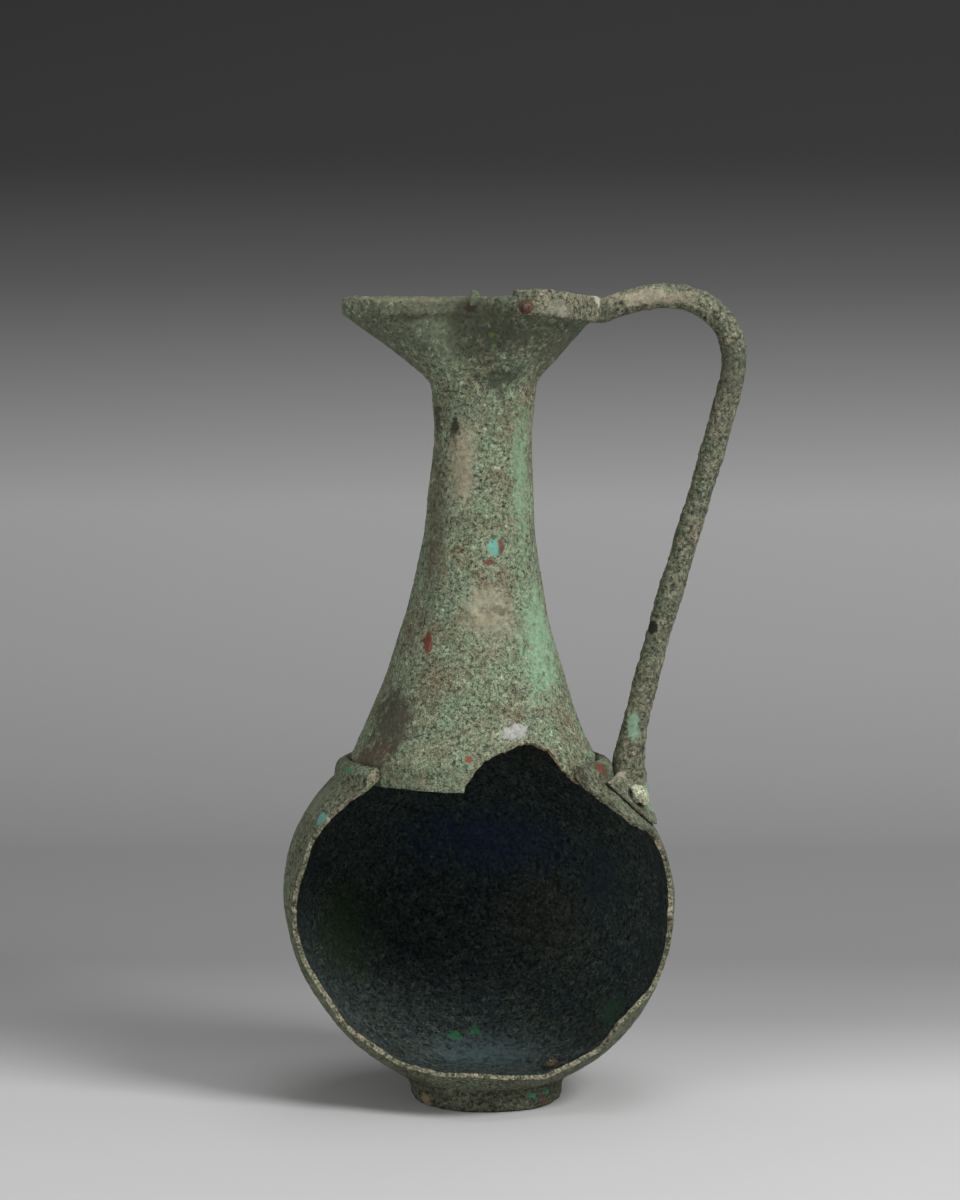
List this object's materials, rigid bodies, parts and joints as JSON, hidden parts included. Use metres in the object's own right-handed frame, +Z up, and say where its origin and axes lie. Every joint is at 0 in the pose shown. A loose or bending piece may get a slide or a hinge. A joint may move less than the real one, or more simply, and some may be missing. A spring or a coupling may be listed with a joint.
{
  "type": "bronze jug",
  "caption": "Ancient bronze jug: round belly broken open in front, tall swept neck, pinched pouring mouth and a high loop handle riveted to rim and shoulder.",
  "frame": {"origin": "middle of the foot's underside, where the jug stands", "axes": "+Z up through the neck, +X to the handle, -X to the spout, the broken side faces -Y"},
  "size_m": [0.1253, 0.0863, 0.222],
  "materials": {
    "foot": "matte",
    "body": "matte",
    "neck": "matte",
    "mouth": "matte",
    "handle": "matte",
    "rivet": "matte"
  },
  "bodies": {
    "root": {"foot": "foot", "body_shell": "body", "neck": "neck", "mouth": "mouth", "handle": "handle", "rim_rivet_front": "rivet", "rim_rivet_back": "rivet", "shoulder_rivet_front": "rivet", "shoulder_rivet_back": "rivet"}
  },
  "joints": []
}
